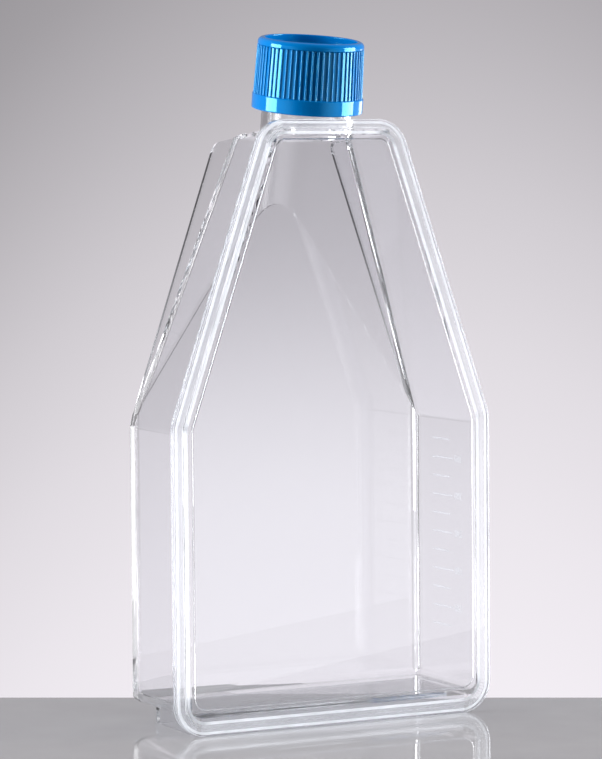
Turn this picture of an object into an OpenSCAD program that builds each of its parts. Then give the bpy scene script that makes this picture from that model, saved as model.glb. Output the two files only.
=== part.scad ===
// Cell culture flask of the 150 square centimetre class, with a canted neck and a ribbed screw cap.
// It stands on its end wall: X runs across the width, the front cover faces -Y and +Z is up.

/* [Flask outline] */
// Width over the weld flange
flask_w = 122; // [104:1:150]
// Height of the weld flange
flask_h = 208.8; // [180:0.2:255]
// Height of the shoulder where the sides start to slant in
shoulder_h = 105.6; // [86:0.2:128]
// Width of the flange along its top edge, measured to the sharp corners
top_w = 51.6; // [44:0.2:62]
// Depth from the front of the flange to the outside of the growth wall
depth = 46; // [38:0.5:56]
// Corner radius of the flange
flange_corner_r = 11; // [6:0.5:14]

/* [Walls] */
// Wall thickness of the moulded tray
wall = 2; // [1.4:0.1:2.6]
// Thickness of the weld flange
flange_t = 2; // [1.4:0.1:3]
// How far the flange stands out from the upright side walls
side_lip = 3.6; // [2.6:0.1:5]
// How far the flange stands out from the slanted side walls
slant_lip = 4.3; // [3:0.1:5.5]
// How far the flange stands out from the roof round the neck
roof_lip = 3.1; // [2.4:0.1:4]
// Height of the end wall above the table
base_lift = 6.1; // [4.5:0.1:8]
// Outer radius where the side walls turn into the end wall
tray_corner_r = 3.5; // [1:0.5:6]
// Outer radius where the end wall turns into the growth wall
heel_r = 3.5; // [1:0.5:6]
// Outer radius where the side walls turn into the growth wall
edge_r = 1; // [0.5:0.1:2.5]
// Radius of the chamber's inner corners
inner_r = 2.5; // [1.5:0.1:3.5]
// Fall of the roof from front to back, in degrees
roof_fall = 3.5; // [0:0.5:6]

/* [Pouring ramp] */
// Depth at which the ramp's outer edge meets the roof
ramp_top_depth = 31; // [26:0.5:38]
// Drop from the flange's top to the sharp peak of the growth wall's arch, before rounding
arch_drop = 20.8; // [14:0.2:56]
// Radius along the ridge of the ramp
ridge_r = 26; // [18:1:34]
// Radius of the inner corner between the ramp and the slanted side walls
ramp_fillet_r = 3; // [1.5:0.5:4]
// Thickness of the stacking fins beside the ramp
fin_t = 2.2; // [1.6:0.1:2.8]
// How far the fins' tops start below the roof
fin_drop = 1; // [0.6:0.1:1.6]
// Length of the slope from the roof down to the fins' tops
fin_slope_len = 4; // [3:0.5:6]
// Fall of the fins' tops from front to back, in degrees
fin_fall = 5.5; // [4:0.5:9]
// Radius at the rear top corner of the fins
fin_corner_r = 4; // [2:0.5:8]

/* [Foot] */
// How far the anti-tip skirt below the end wall stands in from the side walls
foot_inset = 4.4; // [3:0.1:14]
// How far the skirt stands in from the growth wall
foot_setback = 10.7; // [9:0.1:18]
// Wall thickness of the skirt
foot_wall = 1.6; // [1.2:0.1:2.4]

/* [Cover] */
// Thickness of the cover plate
cover_t = 1.9; // [1.5:0.1:2.6]
// Height of the raised window above the cover's welded rim
window_rise = 0.9; // [0.4:0.1:1.3]
// Width of the lowered rim round the window
rim_w = 2.8; // [2:0.1:3.5]
// Distance from the flange's edge to the thinned pane behind the window
pane_inset = 6.7; // [6:0.1:9]
// The same distance along the end wall
pane_base_inset = 9; // [8:0.1:12]

/* [Neck] */
// Tilt of the neck towards the front cover, in degrees
neck_cant = 9; // [0:0.5:12]
// Depth of the neck's axis at the cap's lower edge
neck_y = 20; // [17:0.5:24]
// Outer radius of the neck
neck_r = 15.8; // [13:0.1:16.4]
// Wall thickness of the neck
neck_wall = 2.1; // [1.6:0.1:2.6]
// Radius of the outer edge of the neck's lip
neck_lip_r = 0.5; // [0.2:0.1:0.8]
// Height of the cap's lower edge above the top of the flange
cap_lift = 3.6; // [3.4:0.1:7]

/* [Cap] */
// Height of the cap
cap_h = 24.7; // [20:0.1:30]
// Height of the smooth band at the cap's lower edge
band_h = 5.4; // [4:0.1:7]
// How far the smooth band stands out from the ribs
band_step = 0.35; // [0.2:0.05:0.8]
// Wall of the cap's skirt, from the thread's root to the foot of the ribs
cap_wall = 1.25; // [0.8:0.05:1.6]
// Number of ribs
rib_n = 63; // [40:1:72]
// How far the ribs stand out of the skirt
rib_depth = 0.45; // [0.4:0.05:0.8]
// Radius of a rib's rounded crest
rib_crest_r = 0.35; // [0.25:0.05:0.4]
// Width of a rib at its foot
rib_foot_w = 0.86; // [0.8:0.02:1.1]
// Height of the smooth ring between the ribs and the top shoulder
rib_stop = 0.5; // [0.2:0.1:1.5]
// Draft of the ribbed skirt, in degrees
cap_draft = 1.6; // [0:0.1:2.5]
// Thickness of the cap's top
cap_top_t = 1.3; // [1:0.1:2]
// Depth of the recess in the cap's top
recess_depth = 2.5; // [0.8:0.1:3]
// Radius of the cap's top shoulder
cap_shoulder_r = 1.8; // [0.6:0.1:1.9]
// Radius of the band's edges
band_edge_r = 0.5; // [0.2:0.1:0.9]
// Width of the raised rim round the recess
recess_rim = 2.4; // [2:0.1:3]
// Radius of the recess's upper edge
recess_edge_r = 0.4; // [0.2:0.1:0.6]
// Number of vent holes
vent_n = 8; // [4:1:10]
// Diameter of a vent hole
vent_d = 2.4; // [1.5:0.1:3]
// Radius of the ring of vent holes
vent_ring_r = 6.6; // [5:0.1:8]
// Depth of the sealing plug that enters the neck
plug_h = 4; // [2:0.5:6]
// Wall thickness of the sealing plug
plug_wall = 1.1; // [0.8:0.1:1.6]
// Radius of the edge that leads the plug into the neck
plug_tip_r = 0.4; // [0.2:0.05:0.6]
// Thickness of the vent membrane
membrane_t = 0.3; // [0.2:0.05:0.6]

/* [Thread] */
// Rise of the thread in one turn
thread_pitch = 4; // [3:0.5:5]
// Turns of thread on the neck and in the cap
thread_turns = 1.5; // [1:0.25:2]
// How far each thread stands out
thread_depth = 1.1; // [0.8:0.1:1.3]

/* [Fits] */
// Running gap between the crest of one thread and the root of the other
thread_gap = 0.4; // [0.3:0.05:0.6]
// Gap between the sealing plug and the neck's bore
plug_gap = 0.3; // [0.2:0.05:0.5]
// Gap between the neck's lip and the cap's top
lip_gap = 0.1; // [0.05:0.05:0.3]
// Gap between the vent membrane and the cap's top
membrane_gap = 0.05; // [0.02:0.01:0.1]
// Gap between the edge of the membrane and the plug
membrane_edge_gap = 0.3; // [0.1:0.05:0.5]

/* [Hidden] */
$fn = 72;
past = 1; // how far a cutting solid runs past what it cuts

// Slant of the outline above the shoulder, as sideways run for each unit of height
slant = (flask_w - top_w) / 2 / (flask_h - shoulder_h);
slant_len = sqrt(1 + slant * slant);

function unit(v) = v / norm(v);

// Half width of the slanted edge at height z, moved inwards by lip
function slant_x(z, lip) = flask_w / 2 - (z - shoulder_h) * slant - lip * slant_len;

// Height at which an upright side moved in by side meets the slant moved in by lip
function shoulder_z(side, lip) = shoulder_h + (side - lip * slant_len) / slant;

// The flask's outline moved inwards by its own amount at each side, from the lower left corner round
function outline(side, lip, base, top) =
    let (x = flask_w / 2 - side, z = shoulder_z(side, lip), x_top = slant_x(flask_h - top, lip))
    [[-x, base], [-x, z], [-x_top, flask_h - top], [x_top, flask_h - top], [x, z], [x, base]];

// Height of the roof's outside at depth y
roof_h = flask_h - roof_lip;
function roof_z(y) = roof_h - y * tan(roof_fall);

// The ramp's flanks pass through the shoulder, the roof's rear corner and the arch's sharp peak
wall_shoulder = shoulder_z(side_lip, slant_lip);
ramp_top = [-slant_x(roof_z(ramp_top_depth), slant_lip), ramp_top_depth, roof_z(ramp_top_depth)];
ramp_foot = [-(flask_w / 2 - side_lip), depth, wall_shoulder];
ramp_peak = [0, depth, flask_h - arch_drop];
flank = cross(ramp_top - ramp_foot, ramp_peak - ramp_foot);
ridge_tilt = atan2(flank.z, flank.y);
flank_slope = atan2(-flank.x, norm([flank.y, flank.z]));

// The chamber's left corner between side wall and ramp: its edge, and the way from there into the chamber
side_out = [-1, 0, slant] / slant_len;
ramp_out = unit(flank);
corner_edge = unit(cross(side_out, ramp_out));
corner_in = -unit(side_out + ramp_out);
corner_half = 90 - acos(side_out * ramp_out) / 2;
corner_foot = ramp_foot - wall * (side_out + ramp_out) / (1 + side_out * ramp_out);

// The neck and everything on it is made along +Z from the cap's lower edge, then tilted
neck_z = flask_h + cap_lift;
cap_ceiling = cap_h - recess_depth - cap_top_t;
neck_top = cap_ceiling - lip_gap;
bore_r = neck_r - neck_wall;
roof_gap = cap_lift + roof_lip; // from the cap's lower edge down to the roof, before the roof's fall
neck_root = -roof_gap - wall - neck_r * (tan(neck_cant) + tan(roof_fall)) - 2 * neck_wall;

// Threads: the neck's starts level with the cap's band, and the cap's lies half a pitch below it
thread_z = band_h;
thread_rise = thread_pitch * thread_turns;
thread_root_w = 0.48 * thread_pitch;
thread_crest_w = 0.22 * thread_pitch;
thread_sink = 0.4; // how far a thread is rooted in its wall
thread_steps = 36; // steps of a thread in one turn
thread_fade = 5; // steps over which a thread fades out at each end

// Radii of the cap follow the neck's thread from the inside out
cap_bore_r = neck_r + thread_depth + thread_gap;
skirt_r = cap_bore_r + cap_wall;
rib_r = skirt_r + rib_depth;
band_r = rib_r + band_step;
cap_top_r = rib_r - (cap_h - band_h) * tan(cap_draft);
recess_r = cap_top_r - recess_rim;
plug_r = bore_r - plug_gap;
membrane_r = plug_r - plug_wall - membrane_edge_gap;

// Above its thread the bore narrows to a throat, so that the drafted skirt keeps its wall
throat_r = cap_top_r - rib_depth - cap_wall;
throat_z = thread_z + thread_rise + thread_root_w;

// The ribs end below the smooth ring, where the skirt slopes out to its full radius
ring_z = cap_h - cap_shoulder_r - rib_stop;
rib_len = ring_z - band_h;
rib_sink = 0.3; // how far a rib is rooted in the skirt and in the band

// A 2D polygon with its corners rounded, each by its own radius
module rounded(points, radii) {
    n = len(points);
    corners = [for (i = [0:n - 1])
        let (p = points[i], a = points[(i + n - 1) % n] - p, b = points[(i + 1) % n] - p,
             u = a / norm(a), v = b / norm(b), half = acos(u * v) / 2, r = radii[i])
        [p + u * r / tan(half), p + v * r / tan(half), p + (u + v) / norm(u + v) * r / sin(half)]];
    polygon([for (i = [0:n - 1]) for (k = radii[i] > 0 ? [0, 1] : [0]) corners[i][k]]);
    for (i = [0:n - 1]) if (radii[i] > 0) translate(corners[i][2]) circle(radii[i]);
}

// Draws a profile in the XZ plane and runs it from depth a to depth b
module along_y(a, b) {
    translate([0, b, 0]) rotate([90, 0, 0]) linear_extrude(b - a) children();
}

// Draws a profile in the YZ plane and runs it across the width w
module across_x(w) {
    rotate([90, 0, 90]) linear_extrude(w, center = true) children();
}

// A polygon with some corners rounded, which keeps each rounding inside its own corner
module eased(points, radii) {
    n = len(points);
    difference() {
        polygon(points);
        for (i = [0:n - 1]) if (radii[i] > 0)
            let (p = points[i], u = unit(points[(i + n - 1) % n] - p), v = unit(points[(i + 1) % n] - p),
                 half = acos(u * v) / 2, leg = radii[i] / tan(half))
            difference() {
                polygon([p + u * leg, p - (u + v), p + v * leg]);
                translate(p + unit(u + v) * radii[i] / sin(half)) circle(radii[i]);
            }
    }
}

// Moves what is drawn along the neck's axis into its place
module on_neck() {
    translate([0, neck_y, neck_z]) rotate([neck_cant, 0, 0]) children();
}

// The flange's outline, moved inwards by inset all round
module flange_outline(inset) {
    r = flange_corner_r - inset;
    rounded(outline(inset, inset, inset, inset), [r, r, r, r, r, r]);
}

// The tray's outline, moved inwards from its outer face by inset
module tray_outline(inset) {
    low = inset > 0 ? inner_r : tray_corner_r;
    rounded(outline(side_lip + inset, slant_lip + inset, base_lift + inset, -past),
            [low, low, 0, 0, low, low]);
}

// Side view of the tray: flat end wall, rounded heel, growth wall and falling roof
module tray_side(inset) {
    heel = [depth - inset, base_lift + inset];
    rear_top = [depth - inset, roof_z(depth - inset) - inset];
    rounded([[-past, base_lift + inset], heel, rear_top, [-past, roof_z(-past) - inset]],
            [0, inset > 0 ? inner_r : heel_r, 0, 0]);
}

// Plan view of the tray, which rounds the rear side edges
module tray_plan(inset) {
    x = flask_w / 2 - side_lip - inset;
    rear = inset > 0 ? inner_r : edge_r;
    rounded([[-x, -past], [x, -past], [x, depth - inset], [-x, depth - inset]], [0, 0, rear, rear]);
}

// Everything in front of the ramp: two flanks that meet in a rounded ridge
module ramp_space(inset) {
    r = ridge_r - inset;
    centre = -ridge_r / cos(flank_slope);
    top = centre + r * cos(flank_slope);
    side = r * sin(flank_slope);
    reach = flask_w;
    low = top - (reach - side) * tan(flank_slope);
    translate(ramp_peak) rotate([ridge_tilt, 0, 0]) linear_extrude(2 * flask_h, center = true) {
        polygon([[-side, top], [side, top], [reach, low], [reach, -flask_h],
                 [-reach, -flask_h], [-reach, low]]);
        translate([0, centre]) circle(r);
    }
}

// The tray as a full block, from the cover's joint to the growth wall
module tray_block(inset, front) {
    intersection() {
        along_y(front, depth) tray_outline(inset);
        across_x(flask_w) tray_side(inset);
        linear_extrude(flask_h) tray_plan(inset);
    }
}

// Everything between the planes of the fins' inner faces, above the shoulder
module between_fins() {
    x_low = slant_x(wall_shoulder, slant_lip + fin_t);
    z_top = flask_h + 2 * past;
    x_top = slant_x(z_top, slant_lip + fin_t);
    along_y(0, depth + 2 * past)
        polygon([[-x_low, wall_shoulder], [-x_top, z_top], [x_top, z_top], [x_low, wall_shoulder]]);
}

// The space behind the ramp, between the two stacking fins
module fin_gap() {
    difference() {
        between_fins();
        ramp_space(0);
    }
}

// What is cut from the tray above the fins, which slope down from the roof and have a rounded corner
module fin_trim() {
    start = [ramp_top_depth, roof_z(ramp_top_depth) - fin_drop];
    rise = roof_z(ramp_top_depth - fin_slope_len) - start.y;
    front = start + 2 * [-fin_slope_len, rise];
    rear = [depth, start.y - (depth - ramp_top_depth) * tan(fin_fall)];
    difference() {
        across_x(flask_w) difference() {
            translate([front.x, ramp_foot.z]) square([depth + past - front.x, flask_h - ramp_foot.z]);
            rounded([[front.x - past, ramp_foot.z - past], [depth, ramp_foot.z - past], rear, start, front,
                     front - [past, 0]], [0, 0, fin_corner_r, 0, 0, 0]);
        }
        between_fins();
    }
}

// Strip along the chamber's left corner between side wall and ramp that rounds it with a fillet
module ramp_fillet() {
    leg = ramp_fillet_r / tan(corner_half);
    reach = [cos(corner_half), sin(corner_half)] * leg;
    aside = cross(corner_edge, corner_in);
    multmatrix([for (k = [0:2]) [corner_in[k], aside[k], corner_edge[k], corner_foot[k]]])
        linear_extrude(2 * norm(ramp_top - ramp_foot), center = true) difference() {
            polygon([[-past, 0], reach, [reach.x, -reach.y]]);
            translate([ramp_fillet_r / sin(corner_half), 0]) circle(ramp_fillet_r);
        }
}

// The chamber inside the tray, with its ramp
module chamber() {
    difference() {
        intersection() {
            tray_block(wall, -past);
            ramp_space(wall);
        }
        ramp_fillet();
        mirror([1, 0, 0]) ramp_fillet();
    }
}

// Anti-tip skirt: a wall round three sides below the end wall, closed in front by the flange
module foot() {
    half = flask_w / 2 - side_lip - foot_inset;
    front = cover_t + flange_t / 2;
    rear = depth - foot_setback;
    up = base_lift + wall / 2;
    difference() {
        translate([-half, front, 0]) cube([2 * half, rear - front, up]);
        translate([foot_wall - half, 0, -past])
            cube([2 * (half - foot_wall), rear - foot_wall, up + 2 * past]);
    }
}

// Half section of the solid neck, with its lip rounded
module neck_section() {
    rounded([[0, neck_root], [neck_r, neck_root], [neck_r, neck_top], [0, neck_top]],
            [0, 0, neck_lip_r, 0]);
}

module flask_body() {
    color([0.93, 0.95, 0.97, 0.45])
    difference() {
        union() {
            difference() {
                tray_block(0, cover_t);
                fin_gap();
                fin_trim();
            }
            along_y(cover_t, cover_t + flange_t) flange_outline(0);
            foot();
            on_neck() {
                rotate_extrude() neck_section();
                translate([0, 0, thread_z]) thread_ridge(neck_r, thread_depth);
            }
        }
        chamber();
        on_neck() translate([0, 0, neck_root]) cylinder(r = bore_r, h = neck_top - neck_root + past);
    }
}

module cover_plate() {
    color([0.93, 0.95, 0.97, 0.45])
    difference() {
        union() {
            along_y(0, cover_t) flange_outline(0);
            along_y(-window_rise, cover_t / 2) flange_outline(rim_w);
        }
        along_y(cover_t - window_rise, cover_t + past)
            rounded(outline(pane_inset, pane_inset, pane_base_inset, pane_inset),
                    [for (i = [0:5]) flange_corner_r - pane_inset]);
    }
}

// A helical ridge on radius r: it stands out by rise (inwards if negative) and fades out at both ends
module thread_ridge(r, rise) {
    steps = round(thread_turns * thread_steps);
    sink = rise > 0 ? -thread_sink : thread_sink;
    root = thread_root_w / 2;
    crest = thread_crest_w / 2;
    section = [[0, -root], [1, -crest], [1, crest], [0, root]];
    points = [for (i = [0:steps])
        let (fade = min(1, (1 + min(i, steps - i)) / thread_fade), out = (rise - sink) * fade)
        for (p = section)
        let (a = 360 * thread_turns * i / steps, q = r + sink + p.x * out)
        [q * cos(a), q * sin(a), thread_rise * i / steps + p.y]];
    walls = [for (i = [0:steps - 1]) for (k = [0:3])
        let (a = 4 * i + k, b = 4 * i + (k + 1) % 4)
        for (f = [[a, a + 4, b], [b, a + 4, b + 4]]) f];
    last = 4 * steps;
    ends = [[0, 1, 2], [0, 2, 3], [last + 2, last + 1, last], [last + 3, last + 2, last]];
    faces = concat(walls, ends);
    polyhedron(points, rise > 0 ? [for (f = faces) [f[2], f[1], f[0]]] : faces);
}

// Half section of the cap: its top, the sealing plug, the bore, the band, the skirt and the rim
module cap_section() {
    floor_z = cap_h - recess_depth;
    plug_low = cap_ceiling - plug_h;
    throat = throat_z + cap_bore_r - throat_r;
    ring_r = rib_r - rib_len * tan(cap_draft);
    eased([[0, floor_z], [0, cap_ceiling],
           [plug_r - plug_wall, cap_ceiling], [plug_r - plug_wall, plug_low],
           [plug_r, plug_low], [plug_r, cap_ceiling],
           [throat_r, cap_ceiling], [throat_r, throat], [cap_bore_r, throat_z], [cap_bore_r, 0],
           [band_r, 0], [band_r, band_h], [skirt_r, band_h],
           [ring_r - rib_depth, ring_z - rib_depth], [ring_r, ring_z],
           [cap_top_r, cap_h], [recess_r, cap_h], [recess_r, floor_z]],
          [0, 0, 0, 0, plug_tip_r, 0, 0, 0, 0, 0,
           band_edge_r, band_edge_r, 0, 0, 0, cap_shoulder_r, recess_edge_r, 0]);
}

// One rib along the skirt's draft: straight flanks and a rounded crest
module rib() {
    foot = rib_foot_w / 2;
    root = rib_depth + rib_sink;
    translate([rib_r, 0, band_h - rib_sink]) rotate([0, -cap_draft, 0]) linear_extrude(rib_len) {
        polygon([[-root, -foot], [-rib_depth, -foot], [-rib_crest_r, -rib_crest_r],
                 [-rib_crest_r, rib_crest_r], [-rib_depth, foot], [-root, foot]]);
        translate([-rib_crest_r, 0]) circle(rib_crest_r);
    }
}

module screw_cap() {
    color([0.0, 0.45, 0.85]) on_neck() {
        for (i = [0:rib_n - 1]) rotate([0, 0, i * 360 / rib_n]) rib();
        difference() {
            rotate_extrude() cap_section();
            for (i = [0:vent_n - 1]) rotate([0, 0, i * 360 / vent_n])
                translate([vent_ring_r, 0, cap_ceiling - past]) cylinder(d = vent_d, h = cap_h);
        }
        translate([0, 0, thread_z - thread_pitch / 2]) thread_ridge(cap_bore_r, -thread_depth);
    }
}

module vent_membrane() {
    color([0.96, 0.96, 0.94]) on_neck()
        translate([0, 0, cap_ceiling - membrane_gap - membrane_t]) cylinder(r = membrane_r, h = membrane_t);
}

flask_body();
cover_plate();
screw_cap();
vent_membrane();
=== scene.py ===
# %% [markdown]
# # A cell culture flask
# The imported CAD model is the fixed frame: it says where every piece is, in metres, with the flask standing
# on Z = 0, its front cover facing -Y and its cap at the top. This file gives that frame its looks.

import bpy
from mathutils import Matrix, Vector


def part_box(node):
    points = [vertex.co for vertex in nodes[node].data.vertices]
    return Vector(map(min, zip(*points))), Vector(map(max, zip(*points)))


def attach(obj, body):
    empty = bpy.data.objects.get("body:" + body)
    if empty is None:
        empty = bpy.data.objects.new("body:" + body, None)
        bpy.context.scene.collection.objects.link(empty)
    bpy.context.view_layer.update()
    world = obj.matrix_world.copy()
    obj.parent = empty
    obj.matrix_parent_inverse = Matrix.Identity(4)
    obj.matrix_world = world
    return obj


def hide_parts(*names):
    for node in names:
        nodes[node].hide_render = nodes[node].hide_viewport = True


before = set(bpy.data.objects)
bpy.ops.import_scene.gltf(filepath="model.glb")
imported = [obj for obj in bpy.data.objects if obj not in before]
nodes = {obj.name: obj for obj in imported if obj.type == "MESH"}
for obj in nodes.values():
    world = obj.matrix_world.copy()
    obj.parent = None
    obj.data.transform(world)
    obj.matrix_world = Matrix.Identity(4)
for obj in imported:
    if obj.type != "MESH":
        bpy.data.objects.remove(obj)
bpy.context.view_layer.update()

import math

import bmesh
import bpy
import numpy as np
from mathutils import Matrix, Vector

scene = bpy.context.scene

# %% [markdown]
# ## The camera
# The flask is seen from in front, from its left and from a little above, with a long lens, so that its
# upright edges stay nearly parallel. A camera could be aimed at the flask with a constraint, but three plain
# angles say more: yaw is the turn to the right, pitch the tilt down and roll a hair's lean. They were worked
# out from the straight edges of such a flask. Light bends many times on its way through clear walls, so it
# may bounce more often than usual, or thick edges would turn black.

# %% Camera
CAMERA_AT = (-0.50474, -0.96203, 0.18461)
YAW, PITCH, ROLL = math.radians(27.056), math.radians(3.419), math.radians(-0.486)
LENS = 150.23
BOUNCES, BOUNCES_OF_ONE_KIND = 64, 48


def camera_axes(yaw, pitch, roll):
    """Right, up and back directions: a level camera is turned by yaw, tilted down by pitch, then rolled."""
    right = Vector((math.cos(yaw), -math.sin(yaw), 0))
    ahead = Vector((math.sin(yaw) * math.cos(pitch), math.cos(yaw) * math.cos(pitch), -math.sin(pitch)))
    up = right.cross(ahead)
    return (
        right * math.cos(roll) + up * math.sin(roll),
        up * math.cos(roll) - right * math.sin(roll),
        -ahead,
    )


camera = bpy.data.objects.new("camera", bpy.data.cameras.new("camera"))
scene.collection.objects.link(camera)
camera.data.lens = LENS
camera.data.clip_start, camera.data.clip_end = 0.05, 20
turned = Matrix(camera_axes(YAW, PITCH, ROLL)).transposed().to_4x4()
camera.matrix_world = Matrix.Translation(CAMERA_AT) @ turned
scene.camera = camera
scene.view_settings.view_transform = "Standard"
scene.cycles.max_bounces = BOUNCES
scene.cycles.glossy_bounces = BOUNCES_OF_ONE_KIND
scene.cycles.transmission_bounces = BOUNCES_OF_ONE_KIND
print("camera at", CAMERA_AT, "with a", LENS, "mm lens")

# %% [markdown]
# ## Shader arithmetic
# A material is a tree of small nodes. It could be wired node by node, but written as sums and products it can
# be read. So one small class wraps a node's output, turns Python operators into Math nodes and makes every
# other kind of node by its name.

# %% A wire of a shader tree
class Wire:
    """An output socket of a shader tree. Adding, subtracting or multiplying it adds a Math node."""

    def __init__(self, tree, socket):
        self.tree, self.socket = tree, socket

    @staticmethod
    def make(tree, kind, settings, inputs, out=0):
        """Adds a node of a kind. Its settings, or a ramp's stops, come before its input values or links."""
        node = tree.nodes.new(kind)
        for key, value in settings.items():
            if key == "stops":
                Wire.set_stops(node.color_ramp.elements, value)
            else:
                setattr(node, key, value)
        for key, value in inputs.items():
            if isinstance(value, Wire):
                tree.links.new(value.socket, node.inputs[key])
            else:
                node.inputs[key].default_value = value
        return Wire(tree, node.outputs[out]) if node.outputs else node

    @staticmethod
    def set_stops(elements, stops):
        """Gives a colour ramp its stops, each a position and a colour."""
        while len(elements) < len(stops):
            elements.new(1)
        for element, (position, colour) in zip(elements, stops):
            element.position, element.color = position, colour

    def maths(self, operation, *values):
        """This wire and the values after it, taken through one Math node."""
        inputs = dict(enumerate((self, *values)))
        return Wire.make(self.tree, "ShaderNodeMath", {"operation": operation}, inputs)

    def __add__(self, other):
        return self.maths("ADD", other)

    def __sub__(self, other):
        return self.maths("SUBTRACT", other)

    def __mul__(self, other):
        return self.maths("MULTIPLY", other)

    def __rsub__(self, other):
        return (self * -1.0).maths("ADD", other)

    __radd__, __rmul__ = __add__, __mul__


# %% [markdown]
# ## Small helpers for materials
# Every surface varies a little. Noise gives the variation, read from where the point lies on its piece, so
# that it stays put when the cap turns. A bump tilts the surface's normal without moving the surface.

# %% Helpers for materials
def new_material(name):
    """An empty node material and its tree."""
    material = bpy.data.materials.new(name)
    material.use_nodes = True
    material.node_tree.nodes.clear()
    return material, material.node_tree


def noise(tree, scale, detail=2.0):
    """Soft noise from 0 to 1 that lies still on the piece, with scale blobs to the metre."""
    where = Wire.make(tree, "ShaderNodeTexCoord", {}, {}, out="Object")
    return Wire.make(tree, "ShaderNodeTexNoise", {}, {"Vector": where, "Scale": scale, "Detail": detail})


def bumped(tree, height, strength, distance):
    """The surface's normal after a bump: a height from 0 to 1 stands for 0 to distance metres."""
    inputs = {"Height": height, "Strength": strength, "Distance": distance}
    return Wire.make(tree, "ShaderNodeBump", {}, inputs, out="Normal")


def mixed_colour(tree, factor, first, second):
    """A colour that goes from first to second as factor goes from 0 to 1."""
    return Wire.make(tree, "ShaderNodeMix", {"data_type": "RGBA"}, {0: factor, 6: first, 7: second}, out=2)


def principled(tree, **inputs):
    """The Principled shader, its sockets named with _ for a space."""
    named = {key.replace("_", " "): value for key, value in inputs.items()}
    return Wire.make(tree, "ShaderNodeBsdfPrincipled", {}, named)


def show(tree, shader):
    """Sends a shader to the material's output."""
    Wire.make(tree, "ShaderNodeOutputMaterial", {}, {"Surface": shader})


# %% [markdown]
# ## Clear polystyrene
# The flask and its cover are moulded in water-clear polystyrene, which bends light more than glass does. Thin
# clear sheets could be faked with transparency, but a refracting shader on closed solids gives the bright and
# dark edge lines by itself, so the real walls do the work. The melt leaves a faint ripple as it fills the
# mould: a bump far too low to see, except where it makes a reflection waver. Lamp rays pass through a
# Transparent shader, because bent light takes too long to find a lamp.

# %% Clear polystyrene
PLASTIC_TINT = (0.940, 0.945, 0.960, 1)
PLASTIC_INDEX = 1.59
LAMP_TINT = (0.93, 0.94, 0.95, 1)
RIPPLE, RIPPLE_HEIGHT = 0.02, 0.0002

polystyrene, tree = new_material("clear_polystyrene")
grain = noise(tree, 400.0)
flow = noise(tree, 18.0)
bending = principled(
    tree,
    Base_Color=PLASTIC_TINT,
    Roughness=0.01 * grain,
    IOR=PLASTIC_INDEX,
    Transmission_Weight=1.0,
    Normal=bumped(tree, flow, RIPPLE, RIPPLE_HEIGHT),
)
lamp_ray = Wire.make(tree, "ShaderNodeLightPath", {}, {}, out="Is Shadow Ray")
through = Wire.make(tree, "ShaderNodeBsdfTransparent", {}, {"Color": LAMP_TINT})
show(tree, Wire.make(tree, "ShaderNodeMixShader", {}, {0: lamp_ray, 1: bending, 2: through}))
print(polystyrene.name, "has", len(tree.nodes), "nodes")

# %% [markdown]
# ## Clear pieces
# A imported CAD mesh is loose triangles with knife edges. It could be shown as it is, but no real moulding
# has a knife edge, and a clear one shows its edges most of all. So a copy is merged, its flat triangles are
# joined into whole faces, and a small bevel rounds the edges. Weighted normals keep the flat faces flat.

# %% A helper for clear pieces
SAME_PLACE = 2e-6
FLAT_WITHIN, EDGE_ABOVE = math.radians(0.4), math.radians(13)


def softened(node, name, radius):
    """A merged and bevelled copy of a CAD node, which stands for that node."""
    mesh = nodes[node].data.copy()
    bm = bmesh.new()
    bm.from_mesh(mesh)
    bmesh.ops.remove_doubles(bm, verts=bm.verts, dist=SAME_PLACE)
    bmesh.ops.dissolve_limit(bm, angle_limit=FLAT_WITHIN, verts=bm.verts, edges=bm.edges)
    open_edges = sum(not edge.is_manifold for edge in bm.edges)
    bm.to_mesh(mesh)
    bm.free()
    mesh.shade_smooth()
    piece = bpy.data.objects.new(name, mesh)
    scene.collection.objects.link(piece)
    bevel = piece.modifiers.new("edges", "BEVEL")
    bevel.width, bevel.segments = radius, 2
    bevel.limit_method, bevel.angle_limit = "ANGLE", EDGE_ABOVE
    weighted = piece.modifiers.new("flat faces stay flat", "WEIGHTED_NORMAL")
    weighted.mode, weighted.weight = "FACE_AREA", 100
    mesh.materials.clear()
    mesh.materials.append(polystyrene)
    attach(piece, "flask")
    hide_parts(node)
    print(name, len(mesh.polygons), "faces,", open_edges, "open edges")
    return piece


# %% [markdown]
# ## The moulding and its cover
# The front cover is a second moulding, welded to the flask's flange. Where two clear solids only touch, their
# faces share one place and the picture turns black there. So the cover's rear face goes a hair into the
# flange, and the two read as one solid, as a weld does.

# %% The moulding and its cover
def corners_of(mesh):
    """All vertices of a mesh, as rows of x, y, z."""
    flat = np.empty(len(mesh.vertices) * 3)
    mesh.vertices.foreach_get("co", flat)
    return flat.reshape(-1, 3)


EDGE_ROUNDING = 0.00035
WELD_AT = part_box("cover_plate")[1].y
WELD_OVERLAP = 0.0001
ON_WELD = WELD_AT - 1e-6

moulding = softened("flask_body", "moulded_flask", EDGE_ROUNDING)
cover = softened("cover_plate", "front_cover", EDGE_ROUNDING)
place = corners_of(cover.data)
at_rear = place[:, 1] > ON_WELD
place[:, 1] += WELD_OVERLAP * at_rear
cover.data.vertices.foreach_set("co", place.ravel())
print(int(at_rear.sum()), "vertices of the cover's rear face go", WELD_OVERLAP, "m into the flange")

# %% [markdown]
# ## A helper for new pieces
# Pieces that the CAD lacks are worked out as arrays of corners and faces. Each becomes a closed mesh with its
# faces outwards, takes its material and rides on the body that carries it.

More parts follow.
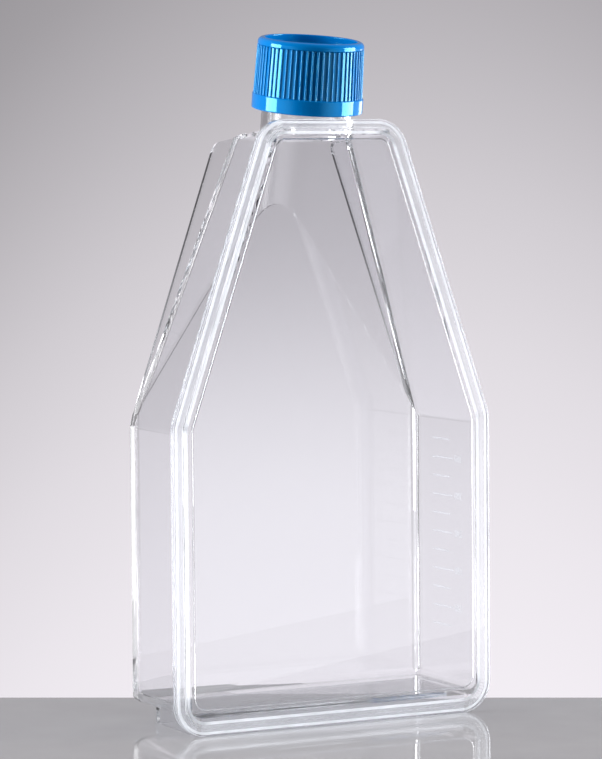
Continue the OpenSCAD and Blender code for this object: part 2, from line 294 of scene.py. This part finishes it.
# %% A helper for new pieces
def built(name, corners, faces, body, material):
    """A new piece from corners and faces, its normals outwards, riding on a body."""
    mesh = bpy.data.meshes.new(name)
    mesh.from_pydata(corners.tolist(), [], faces.tolist())
    bm = bmesh.new()
    bm.from_mesh(mesh)
    bmesh.ops.recalc_face_normals(bm, faces=bm.faces)
    print(name, len(bm.faces), "faces,", sum(not e.is_manifold for e in bm.edges), "open edges")
    bm.to_mesh(mesh)
    bm.free()
    mesh.materials.append(material)
    piece = bpy.data.objects.new(name, mesh)
    scene.collection.objects.link(piece)
    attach(piece, body)
    return piece


# %% [markdown]
# ## The weld
# The cover is welded to the flange all the way round. The melt freezes with fine bubbles in it, so the seam
# is a milky ring inside the clear plastic: strong along its two ribs, faint between them. It makes the frame
# look brighter than the walls. A texture on the flange could hint at it, but the seam lies inside, so it is
# made as thin closed rings there. The flask's outline is convex, so each point of it is the farthest one in
# some direction, and a ring is a flat rectangular profile carried round by that direction.

# %% A ring along the outline
def ring(points, turns, profile):
    """Row i, corner k: farthest point in direction a_i, less s_k times that direction, at depth y_k."""
    angle = np.arange(turns) * 2 * np.pi / turns
    outward = np.stack([np.cos(angle), np.sin(angle)], 1)
    path = points[np.argmax(points @ outward.T, axis=0)]
    inset, depth = np.array(profile).T
    flat = path[:, None, :] - inset[None, :, None] * outward[:, None, :]
    grid = np.stack([flat[..., 0], np.broadcast_to(depth, flat.shape[:2]), flat[..., 1]], 2)
    number = np.arange(turns * len(profile)).reshape(turns, len(profile))
    after, beside = np.roll(number, -1, 0), np.roll(number, -1, 1)
    faces = np.stack([number, beside, np.roll(after, -1, 1), after], 2)
    return grid.reshape(-1, 3), faces.reshape(-1, 4)


# %% [markdown]
# ### Its material
# Frozen bubbles scatter light both back and through. An opaque white would hide the flange behind the seam,
# and a volume of real bubbles would render for hours. So the seam is half transmitting and quite rough, and
# its cover varies along the way, because no weld is even.

# %% Milky plastic
MILK_WHITE = (0.96, 0.97, 0.99, 1)


def milky(name, least, more):
    """A cloudy white whose cover goes from least to least + more."""
    material, tree = new_material(name)
    streaks = noise(tree, 80.0)
    show(tree, principled(
        tree,
        Base_Color=MILK_WHITE,
        Roughness=0.5 + 0.3 * streaks,
        IOR=1.1,
        Transmission_Weight=0.5,
        Alpha=least + more * streaks,
    ))
    return material


# %% The three rings
SEAM_FRONT, SEAM_BACK = WELD_AT + 0.00003, WELD_AT + 0.00007
TURNS = 720
SEAMS = {
    "outer_weld": {"inset": (0.0006, 0.0015), "least": 0.30, "more": 0.50},
    "middle_weld": {"inset": (0.0016, 0.0039), "least": 0.05, "more": 0.20},
    "inner_weld": {"inset": (0.0040, 0.0050), "least": 0.30, "more": 0.50},
}
cover_corners = corners_of(nodes["cover_plate"].data)
rim = cover_corners[cover_corners[:, 1] > ON_WELD][:, [0, 2]]
welds = []
for name, seam in SEAMS.items():
    near, far = seam["inset"]
    profile = ((near, SEAM_FRONT), (far, SEAM_FRONT), (far, SEAM_BACK), (near, SEAM_BACK))
    cloudy = milky(name, seam["least"], seam["more"])
    welds.append(built(name, *ring(rim, TURNS, profile), "flask", cloudy))

# %% [markdown]
# ## Graduations
# The right side wall carries a faint printed scale for the flask standing on its end wall. Its marks are
# evenly spaced, because the chamber has the same area all the way up to the shoulder. Every second mark has a
# number, which reads from the wall's outside. The area inside the walls tells what a step holds. An image
# could carry the print, but thin slabs keep it sharp at any distance.

# %% Where the marks go
WALL = 0.002
FLANGE = 0.0036
END_WALL_AT = 0.0061
FLOOR_AT = END_WALL_AT + WALL
MARK_STEP, STEP_ML = 0.0067, 30
MARK_FROM, MARK_SHORT, MARK_LONG = 0.0329, 0.0208, 0.0185
MARK_LINE = 0.0004
NUMBER_SIZE, NUMBER_GAP = 0.0036, 0.0012
INK_FROM, INK_TO = 0.00001, 0.00005

flask_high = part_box("flask_body")[1]
side_at = flask_high.x - FLANGE
area = 2 * (side_at - WALL) * (flask_high.y - WALL - WELD_AT)
print("inside area", round(area * 1e4, 1), "cm2; a step holds", round(area * MARK_STEP * 1e6, 1), "mL")
steps = np.arange(3, 14)
mark_at = FLOOR_AT + MARK_STEP * steps
numbered = steps % 2 == 0
mark_to = np.where(numbered, MARK_LONG, MARK_SHORT)

# %% [markdown]
# ### Marks
# Each mark is a printed line. It could be a flat strip on the wall, but every piece here is a closed solid,
# and faces that share a place spoil the picture. So each mark is a thin slab that stands a hair off the wall.

# %% Slabs
def slabs(low, high):
    """Closed boxes: corner abc of box i has low or high x, y, z of row i as a, b, c are 0 or 1."""
    pick = np.array([[x, y, z] for x in (0, 1) for y in (0, 1) for z in (0, 1)])
    corners = np.where(pick[None], high[:, None, :], low[:, None, :]).reshape(-1, 3)
    quads = np.array([
        [0, 1, 3, 2], [4, 6, 7, 5], [0, 4, 5, 1],
        [2, 3, 7, 6], [0, 2, 6, 4], [1, 5, 7, 3],
    ])
    faces = (quads[None] + 8 * np.arange(len(low))[:, None, None]).reshape(-1, 4)
    return corners, faces


# %% [markdown]
# ### Ink
# The print is a thin white ink. An opaque white would stand out like paper, so the ink covers only about
# half, a little more or less from fleck to fleck, and it has no gloss of its own.

# %% Ink
INK_WHITE = (0.93, 0.94, 0.96, 1)

ink, tree = new_material("ink_white")
fleck = noise(tree, 900.0)
show(tree, principled(
    tree,
    Base_Color=INK_WHITE,
    Roughness=0.5 + 0.2 * fleck,
    Specular_IOR_Level=0.0,
    Alpha=0.40 + 0.20 * fleck,
))
print(ink.name, "has", len(tree.nodes), "nodes")

# %% The marks
ones = np.ones(len(steps))
graduations = built("graduations", *slabs(
    np.stack([(side_at + INK_FROM) * ones, mark_to, mark_at - MARK_LINE / 2], 1),
    np.stack([(side_at + INK_TO) * ones, MARK_FROM * ones, mark_at + MARK_LINE / 2], 1),
), "flask", ink)

# %% [markdown]
# ### Numbers
# The numbers are printed with the marks. Their strokes could be drawn by hand, but Blender's own font,
# thickened and made a mesh, gives clean digits. Each is turned in its data so that it reads along +Y with its
# top at +Z, as someone sees it who faces the wall from outside.

# %% A number
def number_mesh(text):
    """A solid number lying on the wall: its reading direction is +Y and its top is +Z."""
    letters = bpy.data.curves.new("number", "FONT")
    letters.body, letters.size, letters.resolution_u = text, NUMBER_SIZE, 3
    letters.extrude = (INK_TO - INK_FROM) / 2
    letters.align_x, letters.align_y = "RIGHT", "CENTER"
    holder = bpy.data.objects.new("number", letters)
    mesh = bpy.data.meshes.new_from_object(holder)
    bpy.data.objects.remove(holder)
    mesh.transform(Matrix(((0, 0, 1), (1, 0, 0), (0, 1, 0))).to_4x4())
    return mesh


# %% The numbers
printed = bmesh.new()
printed.from_mesh(graduations.data)
for step, height in zip(steps[numbered].tolist(), mark_at[numbered].tolist()):
    flat = number_mesh(str(step * STEP_ML))
    middle = side_at + (INK_FROM + INK_TO) / 2
    flat.transform(Matrix.Translation((middle, MARK_LONG - NUMBER_GAP, height)))
    printed.from_mesh(flat)
bmesh.ops.remove_doubles(printed, verts=printed.verts, dist=SAME_PLACE)
open_edges = sum(not e.is_manifold for e in printed.edges)
print("with numbers:", len(printed.faces), "faces,", open_edges, "open edges")
printed.to_mesh(graduations.data)
printed.free()

# %% [markdown]
# ## The cap
# The screw cap is blue polyethylene, moulded with close ribs for grip. The colour is in the plastic, so it
# reflects blue-green rather than white where the light is soft, and the tint of its specular does that. It
# could have a smooth shader, but the mould leaves a fine tooth: noise gives a low bump and a varying gloss.
# The CAD cap keeps its own mesh, since its ribs, thread and holes are all there.

# %% The cap
CAP_COLOUR = (0.0, 0.15, 0.46, 1)
CAP_SHEEN = (0.25, 0.95, 1.0, 1)
TOOTH, TOOTH_HEIGHT = 0.05, 0.0001

cap_blue, tree = new_material("cap_blue")
tooth = noise(tree, 900.0)
show(tree, principled(
    tree,
    Base_Color=CAP_COLOUR,
    Roughness=0.04 + 0.05 * tooth,
    Specular_Tint=CAP_SHEEN,
    Normal=bumped(tree, tooth, TOOTH, TOOTH_HEIGHT),
))
nodes["screw_cap"].data.materials.clear()
nodes["screw_cap"].data.materials.append(cap_blue)
print("cap:", len(nodes["screw_cap"].data.polygons), "faces")

# %% [markdown]
# ## The vent membrane
# Behind the cap's eight holes sits a disc of porous film, which lets air in and keeps germs out. Through the
# holes only a matt white shows, so a rough shader with fine pores is enough.

# %% The vent membrane
FILM_DARK, FILM_LIGHT = (0.70, 0.70, 0.68, 1), (0.92, 0.92, 0.90, 1)
PORE, PORE_HEIGHT = 0.3, 0.0001

film, tree = new_material("porous_film")
pores = noise(tree, 4000.0, 4.0)
show(tree, principled(
    tree,
    Base_Color=mixed_colour(tree, pores, FILM_DARK, FILM_LIGHT),
    Roughness=0.8 + 0.2 * pores,
    Normal=bumped(tree, pores, PORE, PORE_HEIGHT),
))
nodes["vent_membrane"].data.materials.clear()
nodes["vent_membrane"].data.materials.append(film)
print("membrane:", len(nodes["vent_membrane"].data.polygons), "faces")

# %% [markdown]
# ## The table
# The flask stands on a glossy grey shelf, which ends a little behind it and a little before it. It could be a
# slab, but only its top shows, so one face is enough. The shiny top mirrors the flask's base, and a grey that
# wears unevenly keeps it from looking like a flat fill. It lies a hair under the flask, so that no two faces
# share a place.

# %% The table
TABLE_TURN = math.radians(-30.1)
TABLE_HALF, TABLE_FRONT, TABLE_BACK = 0.45, -0.078, 0.0589
TABLE_DROP = 0.00005
TABLE_DARK, TABLE_LIGHT = (0.25, 0.245, 0.255, 1), (0.31, 0.305, 0.315, 1)

turn = Matrix.Rotation(TABLE_TURN, 3, "Z")
outline = [(x, TABLE_FRONT) for x in (-TABLE_HALF, TABLE_HALF)]
outline += [(x, TABLE_BACK) for x in (TABLE_HALF, -TABLE_HALF)]
corners = [turn @ Vector((x, y, -TABLE_DROP)) for x, y in outline]
table_mesh = bpy.data.meshes.new("table")
table_mesh.from_pydata(corners, [], [(0, 1, 2, 3)])
table = bpy.data.objects.new("table", table_mesh)
scene.collection.objects.link(table)

grey, tree = new_material("table_grey")
wear = noise(tree, 35.0, 6.0)
show(tree, principled(
    tree,
    Base_Color=mixed_colour(tree, wear, TABLE_DARK, TABLE_LIGHT),
    Roughness=0.03 + 0.03 * wear,
    IOR=1.6,
))
table_mesh.materials.append(grey)
print("table from", TABLE_FRONT, "to", TABLE_BACK, "m")

# %% [markdown]
# ## The backdrop
# Clear plastic has hardly a look of its own: it shows what stands round it, bent. So the world is the most
# important light here. It could be an image of a studio, but a few soft steps are enough. Ahead is a paper
# backdrop, bright at its foot and darker to the top, whose glow is a little right of the middle. The tone
# follows a Gompertz curve, an S with a long tail: the top's tone plus a gain times e to the minus e to a
# straight line.

# %% Tones of the backdrop
RISES = np.linspace(-0.35, 0.45, 17)
TOP_TONE, FOOT_GAIN = 0.271, 0.693
CURVE_START, CURVE_SLOPE = -0.4233, 11.152
tone = TOP_TONE + FOOT_GAIN * np.exp(-np.exp(CURVE_START + CURVE_SLOPE * RISES))
PAPER = np.array((1.01, 0.965, 1.02))
colours = [(*colour, 1) for colour in np.outer(tone, PAPER).tolist()]
stops = list(zip((0.5 + 0.5 * RISES).tolist(), colours))
print("backdrop tone from foot to top:", tone.round(2))

world = bpy.data.worlds.new("studio")
scene.world = world
world.use_nodes = True
tree = world.node_tree
tree.nodes.clear()

# %% [markdown]
# ### Directions
# In a world's tree the Generated coordinate is the direction of the ray. Its parts along up, along the
# camera's right and along the way ahead say where on the studio's walls the ray ends.

# %% Directions
ahead = Vector((math.sin(YAW), math.cos(YAW), 0))
right = Vector((ahead.y, -ahead.x, 0))
direction = Wire.make(tree, "ShaderNodeTexCoord", {}, {}, out="Generated")


def along(axis):
    """How far the ray points along an axis, from -1 to 1."""
    inputs = {0: direction, 1: axis}
    return Wire.make(tree, "ShaderNodeVectorMath", {"operation": "DOT_PRODUCT"}, inputs, out="Value")


def smooth(value, low, high):
    """Goes smoothly from 0 at low to 1 at high. Where low is the greater, it goes down."""
    inputs = {"Value": value, "From Min": low, "From Max": high}
    return Wire.make(tree, "ShaderNodeMapRange", {"interpolation_type": "SMOOTHSTEP"}, inputs, out="Result")


def size_of(value):
    """The value without its sign."""
    return value.maths("ABSOLUTE")


height, sideways, facing = along((0, 0, 1)), along(right), along(ahead)
print("ahead", [round(c, 3) for c in ahead], "right", [round(c, 3) for c in right])

# %% [markdown]
# ### Backdrop and room
# The paper's tone falls off to both sides of its glow, up to a limit. A second, low glow on the right is the
# light that a lamp spills on the wall. Behind the camera the room is dark, except for pale walls on both
# sides, above and below the line of sight: they shine in the flask's front window and leave its top clear.

# %% Backdrop and room
GLOW_SIDE, GLOW_REACH, GLOW_FALL = 0.0316, 0.16, 3.94
SPILL = 0.35
SPILL_SIDE, SPILL_RISE = (0.2, 0.6), (0.08, -0.02)
SIGHT_LINE = 0.02
PALE_OFF_SIGHT, PALE_RISE = (0.02, 0.125), (0.4, 0.25)
PALE_SIDE, PALE_FACING = (0.35, 0.75), (-0.1, -0.4)
ROOM_TO_PAPER = (-0.35, 0.25)
ROOM_DARK, ROOM_PALE = (0.02, 0.02, 0.021, 1), (1.35, 1.35, 1.37, 1)

off_glow = size_of(sideways - GLOW_SIDE).maths("MINIMUM", GLOW_REACH)
lifted = height + GLOW_FALL * (off_glow * off_glow)
paper = Wire.make(tree, "ShaderNodeValToRGB", {"stops": stops}, {"Fac": 0.5 + 0.5 * lifted})
spilled = smooth(sideways, *SPILL_SIDE) * smooth(height, *SPILL_RISE)
backdrop = Wire.make(tree, "ShaderNodeMix", {"data_type": "RGBA", "blend_type": "ADD"}, {
    0: SPILL * spilled, 6: paper, 7: (1, 1, 1, 1)}, out=2)
off_sight = size_of(height - SIGHT_LINE)
pale = smooth(off_sight, *PALE_OFF_SIGHT) * smooth(height, *PALE_RISE)
at_sides = smooth(size_of(sideways), *PALE_SIDE) * smooth(facing, *PALE_FACING)
room = mixed_colour(tree, pale * at_sides, ROOM_DARK, ROOM_PALE)
studio = mixed_colour(tree, smooth(facing, *ROOM_TO_PAPER), room, backdrop)
print("room from", ROOM_DARK[0], "to", ROOM_PALE[0], "round a line of sight at", SIGHT_LINE)

# %% [markdown]
# ### What sees the studio
# Rays from the camera, mirrored rays and bent rays see the studio as it is. Matt surfaces could be lit by it
# too, but a plain sky, dim at the sides and brighter overhead, makes less noise and keeps the flask's shadow
# on the table.

# %% What sees the studio
SKY_SIDE, SKY_TOP = 0.08, 1.3
SKY_RISE = (0.3, 0.9)

seeing = Wire.make(tree, "ShaderNodeLightPath", {}, {}, out="Is Camera Ray")
for kind in ("Is Glossy Ray", "Is Transmission Ray"):
    seeing = seeing.maths("MAXIMUM", Wire.make(tree, "ShaderNodeLightPath", {}, {}, out=kind))
shown = Wire.make(tree, "ShaderNodeBackground", {}, {"Color": studio, "Strength": 1.0})
glow = SKY_SIDE + SKY_TOP * smooth(height, *SKY_RISE)
sky = Wire.make(tree, "ShaderNodeBackground", {}, {"Strength": glow})
lit_by = Wire.make(tree, "ShaderNodeMixShader", {}, {0: seeing, 1: sky, 2: shown})
Wire.make(tree, "ShaderNodeOutputWorld", {}, {"Surface": lit_by})
print("world:", len(tree.nodes), "nodes")


# %% [markdown]
# ## Lamps
# Two tall softboxes stand left and right of the flask and draw the white lines on the cap's ribs. The same
# light on the clear walls would drown their fine dark lines. Weaker lamps for all would dull the cap, so the
# walls get fainter strips near the same places, by light linking: a lamp that has a list of receivers lights
# nothing else. One softbox in front lights only the milky weld, and one on the left only the printed scale. A
# low one behind on the right lights the rims of all pieces.

# %% Helpers for lamps
LIT_POINT = Vector((0, 0.02, 0.15))


def softbox(name, turn, rise, width, height, radiance):
    """A lamp 1 m from the lit point: turn goes from the camera's side to the right, rise up, in degrees."""
    lamp = bpy.data.lights.new(name, "AREA")
    lamp.shape, lamp.size, lamp.size_y = "RECTANGLE", width, height
    lamp.energy = radiance * math.pi * width * height
    holder = bpy.data.objects.new(name, lamp)
    scene.collection.objects.link(holder)
    angle, lift = math.radians(turn), math.radians(rise)
    level = right * math.sin(angle) - ahead * math.cos(angle)
    towards = level * math.cos(lift) + Vector((0, 0, math.sin(lift)))
    holder.location = LIT_POINT + towards
    holder.rotation_euler = (-towards).to_track_quat("-Z", "Y").to_euler()
    print(name, "at", [round(c, 2) for c in holder.location])
    return holder


def only_on(lamp, *lit):
    """The lamp lights these pieces and nothing else."""
    group = bpy.data.collections.new(lamp.name + "_lights")
    for piece in lit:
        group.objects.link(piece)
    lamp.light_linking.receiver_collection = group


# %% The lamps
opaque = (nodes["screw_cap"], nodes["vent_membrane"], *welds, table)
clear = (moulding, cover, graduations)

only_on(softbox("left_softbox", -80, 10, 0.50, 0.7, 20), *opaque)
only_on(softbox("right_softbox", 94, 8, 0.60, 0.8, 16), *opaque)
only_on(softbox("left_strip", -84, 10, 0.40, 0.7, 3.5), *clear)
only_on(softbox("right_strip", 100, 8, 0.50, 0.8, 3.5), *clear)
only_on(softbox("front_softbox", -15, 20, 0.50, 0.5, 12), *welds)
only_on(softbox("print_softbox", -50, 15, 0.50, 0.5, 6), graduations)
softbox("rim_softbox", 145, -3, 0.35, 0.25, 4)
